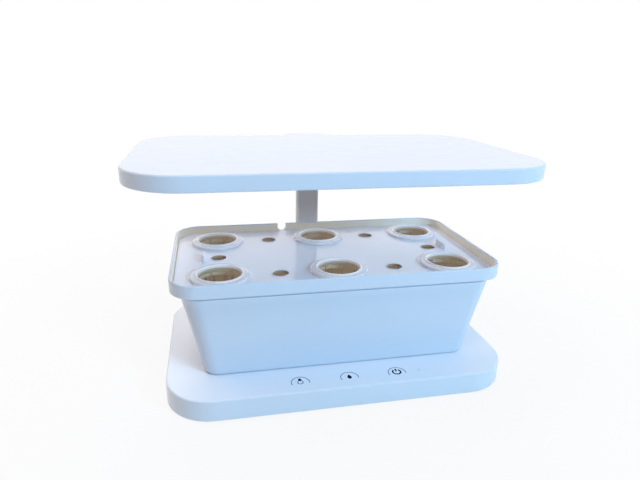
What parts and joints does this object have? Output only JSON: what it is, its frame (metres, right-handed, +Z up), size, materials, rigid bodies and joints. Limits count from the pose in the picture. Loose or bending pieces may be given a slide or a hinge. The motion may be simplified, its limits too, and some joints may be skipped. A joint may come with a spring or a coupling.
{
  "type": "countertop hydroponic garden",
  "caption": "Tabletop hydroponic planter: tapered white tank with net pots in a lift-out deck on a flat touch-key base, under a grow lamp on a telescoping mast.",
  "frame": {"origin": "on the worktop, under the middle of the whole object's footprint", "axes": "+Z up, -Y to the front where the touch keys are, +X to the right seen from the front"},
  "size_m": [0.377, 0.2504, 0.219],
  "materials": {
    "white_gloss": "glossy moulded ABS",
    "white_matte": "fine satin moulding",
    "rubber_grey": "matt",
    "screw_steel": "zinc plated",
    "circuit_board": "solder mask",
    "light_pipe": "clear rod",
    "socket_black": "satin",
    "motor_steel": "drawn can",
    "magnet": "sintered ferrite",
    "grey_plastic": "satin",
    "mast_grey": "satin grey coat",
    "diffuser": "opal sheet",
    "led_panel": "white solder mask",
    "led_chip": "phosphor",
    "axle_ceramic": "polished",
    "impeller_blue": "moulded",
    "pot_clear": "translucent moulding"
  },
  "bodies": {
    "base": {"base_housing": "white_gloss", "base_bottom_plate": "white_matte", "rubber_feet": "rubber_grey", "base_screws": "screw_steel", "touch_board": "circuit_board", "status_light_pipe": "light_pipe", "control_board": "circuit_board", "board_screws": "screw_steel", "power_inlet": "socket_black", "pump_motor": "motor_steel", "mast_foot": "grey_plastic", "mast_outer_tube": "mast_grey", "mast_collar": "grey_plastic"},
    "pump_drive": {"drive_shaft": "motor_steel", "drive_magnet": "magnet"},
    "lamp": {"mast_inner_tube": "mast_grey", "mast_glide": "grey_plastic", "lamp_bracket": "grey_plastic", "bracket_screws": "screw_steel", "lamp_housing": "white_gloss", "lamp_bezel": "white_matte", "lamp_diffuser": "diffuser", "lamp_screws": "screw_steel", "led_board": "led_panel", "led_chips": "led_chip", "led_board_screws": "screw_steel"},
    "tank": {"tank": "white_gloss", "pump_housing": "white_matte", "pump_cap": "white_matte", "pump_axle": "axle_ceramic"},
    "pump_rotor": {"impeller": "impeller_blue", "impeller_magnet": "magnet"},
    "deck": {"deck": "white_gloss"},
    "pot_1": {"pot_1": "pot_clear"},
    "pot_2": {"pot_2": "pot_clear"},
    "pot_3": {"pot_3": "pot_clear"},
    "pot_4": {"pot_4": "pot_clear"},
    "pot_5": {"pot_5": "pot_clear"},
    "pot_6": {"pot_6": "pot_clear"}
  },
  "joints": [
    {"name": "lamp_height", "type": "slide", "parent": "base", "child": "lamp", "axis": [0, 0, 1], "range_m": [-0.008, 0.11]},
    {"name": "tank_slide", "type": "slide", "parent": "base", "child": "tank", "axis": [0, -1, 0], "range_m": [0, 0.205]},
    {"name": "deck_lift", "type": "slide", "parent": "tank", "child": "deck", "axis": [0, 0, 1], "range_m": [0, 0.08]},
    {"name": "pot_lift_1", "type": "slide", "parent": "deck", "child": "pot_1", "axis": [0, 0, 1], "range_m": [0, 0.08]},
    {"name": "pot_lift_2", "type": "slide", "parent": "deck", "child": "pot_2", "axis": [0, 0, 1], "range_m": [0, 0.08]},
    {"name": "pot_lift_3", "type": "slide", "parent": "deck", "child": "pot_3", "axis": [0, 0, 1], "range_m": [0, 0.08]},
    {"name": "pot_lift_4", "type": "slide", "parent": "deck", "child": "pot_4", "axis": [0, 0, 1], "range_m": [0, 0.08]},
    {"name": "pot_lift_5", "type": "slide", "parent": "deck", "child": "pot_5", "axis": [0, 0, 1], "range_m": [0, 0.08]},
    {"name": "pot_lift_6", "type": "slide", "parent": "deck", "child": "pot_6", "axis": [0, 0, 1], "range_m": [0, 0.08]},
    {"name": "pump_drive_spin", "type": "hinge", "parent": "base", "child": "pump_drive", "pos_m": [0, -0.01455, 0.017], "axis": [0, 0, 1], "continuous": true},
    {"name": "pump_rotor_spin", "type": "hinge", "parent": "tank", "child": "pump_rotor", "pos_m": [0, -0.01455, 0.03], "axis": [0, 0, 1], "continuous": true}
  ],
  "couplings": [
    {"joint": "pump_rotor_spin", "follows": "pump_drive_spin", "ratio": 1}
  ]
}
